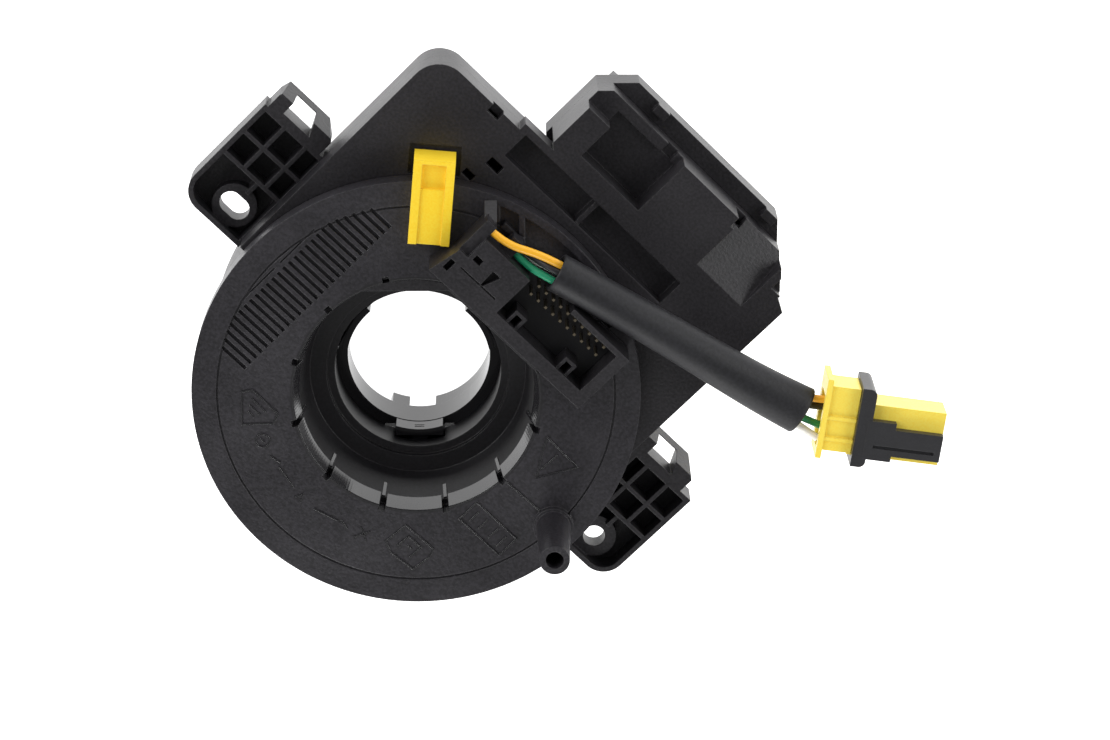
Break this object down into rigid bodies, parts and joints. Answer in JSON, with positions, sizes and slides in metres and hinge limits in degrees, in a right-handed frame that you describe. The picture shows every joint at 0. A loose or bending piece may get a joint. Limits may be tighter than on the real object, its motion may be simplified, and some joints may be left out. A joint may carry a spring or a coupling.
{
  "type": "steering clock spring",
  "caption": "Rotating contact unit for a steering column: hollow turning disc with socket, post and plug lead over a stator with bolt ears, cable loops and vehicle sockets.",
  "frame": {"origin": "on the rotation axis, in the rear plane that the vehicle sockets' mouths and the column sleeve's skirt lie in", "axes": "+Z along the rotation axis towards the steering wheel, +X from the slotted ear to the round-holed ear, +Y towards the vehicle sockets"},
  "size_m": [0.1778, 0.1458, 0.07],
  "materials": {
    "black_plastic": "fine grain, satin",
    "inner_plastic": "smooth, slightly glossy",
    "yellow_plastic": "smooth",
    "film": "thin slippery film",
    "ribbon": "flat film cable",
    "tinned_pin": "tinned",
    "sleeve_rubber": "soft matt tube",
    "wire_yellow": "insulation",
    "wire_white": "insulation",
    "wire_black": "insulation",
    "wire_green": "insulation"
  },
  "bodies": {
    "stator": {"stator_case": "black_plastic", "stator_cover": "black_plastic", "rear_slide_film": "film", "outer_ribbon_clip": "inner_plastic", "vehicle_lead_block": "inner_plastic", "vehicle_pins_left": "tinned_pin", "vehicle_pins_right": "tinned_pin"},
    "rotor": {"rotor_disc": "black_plastic", "rear_sleeve": "inner_plastic", "socket_housing": "black_plastic", "front_lead_block": "inner_plastic", "front_pins": "tinned_pin", "front_slide_film": "film", "inner_ribbon_clip": "inner_plastic", "spiral_ribbon": "ribbon", "harness_sleeve": "sleeve_rubber", "wire_yellow": "wire_yellow", "wire_white": "wire_white", "wire_black": "wire_black", "wire_green": "wire_green", "plug_body": "yellow_plastic", "plug_terminals": "tinned_pin"},
    "lock_tab": {"lock_tab": "yellow_plastic"},
    "plug_lock": {"plug_lock": "inner_plastic"}
  },
  "joints": [
    {"name": "rotor_spin", "type": "hinge", "parent": "stator", "child": "rotor", "pos_m": [0, 0, 0], "axis": [0, 0, 1], "range_deg": [-900, 900]},
    {"name": "lock_tab_lift", "type": "slide", "parent": "rotor", "child": "lock_tab", "axis": [0, 0, 1], "range_m": [0, 0.025]},
    {"name": "plug_lock_slide", "type": "slide", "parent": "rotor", "child": "plug_lock", "axis": [0.7986, 0.6018, 0], "range_m": [0, 0.003]}
  ]
}
